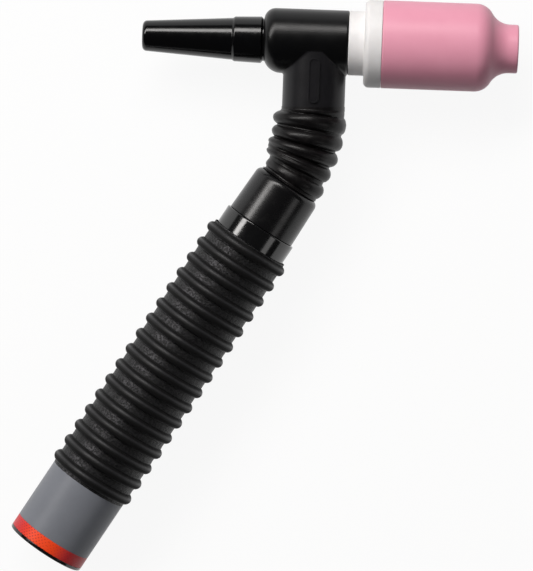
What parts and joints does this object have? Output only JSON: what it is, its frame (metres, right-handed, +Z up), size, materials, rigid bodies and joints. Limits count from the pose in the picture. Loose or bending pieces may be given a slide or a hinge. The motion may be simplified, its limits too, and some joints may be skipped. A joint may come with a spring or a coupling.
{
  "type": "tig torch",
  "caption": "Hand torch for TIG welding: ribbed grip, bent flexible bellows neck, T-shaped head with tapered back cap, and a stepped ceramic gas nozzle over a gas lens.",
  "frame": {"origin": "centre of the handle's open end, where the cable goes in", "axes": "+X along the head towards the nozzle's mouth, +Y along the head's stem away from the neck, +Z up, square to the plane of head and handle, with the torch lying on its side"},
  "size_m": [0.17, 0.2026, 0.0316],
  "materials": {
    "moulded_rubber": "satin moulded rubber",
    "bellows_rubber": "semi-gloss wrinkled rubber",
    "shank_rubber": "semi-gloss smooth rubber",
    "grip_rubber": "dull, grainy moulded rubber",
    "handle_plastic": "glossy black",
    "cap_plastic": "polished black phenolic",
    "label_film": "satin grey film with a red end band",
    "white_ptfe": "waxy white",
    "pink_ceramic": "matt fired alumina",
    "brass": "turned",
    "copper": "drawn copper",
    "steel_mesh": "fine mesh",
    "tungsten": "ground",
    "seal_rubber": "smooth"
  },
  "bodies": {
    "handle": {"handle_tube": "handle_plastic", "label_sleeve": "label_film", "ribbed_grip": "grip_rubber", "neck_shank": "shank_rubber", "cable_adaptor": "brass", "lower_ferrule": "copper", "conduit_lower": "copper"},
    "neck_link": {"conduit_middle": "copper", "neck_bellows": "bellows_rubber"},
    "head": {"upper_ferrule": "copper", "conduit_upper": "copper", "head_core": "brass", "head_cover": "moulded_rubber", "gas_lens_body": "copper", "lens_screens": "steel_mesh", "screen_ring": "copper", "collet": "copper", "nozzle_insulator": "white_ptfe"},
    "seal": {"cap_seal": "seal_rubber"},
    "cap": {"back_cap": "cap_plastic"},
    "tungsten": {"electrode": "tungsten"},
    "nozzle": {"gas_nozzle": "pink_ceramic"}
  },
  "joints": [
    {"name": "neck_bend", "type": "hinge", "parent": "handle", "child": "neck_link", "pos_m": [0.08365, 0.13634, 0], "axis": [0, 0, 1], "range_deg": [-45, 20], "deforming": ["neck_bellows", "conduit_lower"]},
    {"name": "neck_swing", "type": "hinge", "parent": "neck_link", "child": "head", "pos_m": [0.08739, 0.14952, 0], "axis": [0.9904, -0.1379, 0], "range_deg": [-35, 35], "deforming": ["neck_bellows", "conduit_upper"]},
    {"name": "cap_travel", "type": "slide", "parent": "head", "child": "seal", "axis": [-1, 0, 0], "range_m": [0, 0.0089]},
    {"name": "cap_turn", "type": "hinge", "parent": "seal", "child": "cap", "pos_m": [0.05787, 0.17988, 0], "axis": [-1, 0, 0], "range_deg": [0, 2520]},
    {"name": "electrode_feed", "type": "slide", "parent": "head", "child": "tungsten", "axis": [1, 0, 0], "range_m": [0, 0.015]},
    {"name": "nozzle_travel", "type": "slide", "parent": "head", "child": "nozzle", "axis": [1, 0, 0], "range_m": [0, 0.012]}
  ],
  "couplings": [
    {"joint": "cap_travel", "follows": "cap_turn", "m_per_rad": 0.00020213}
  ]
}
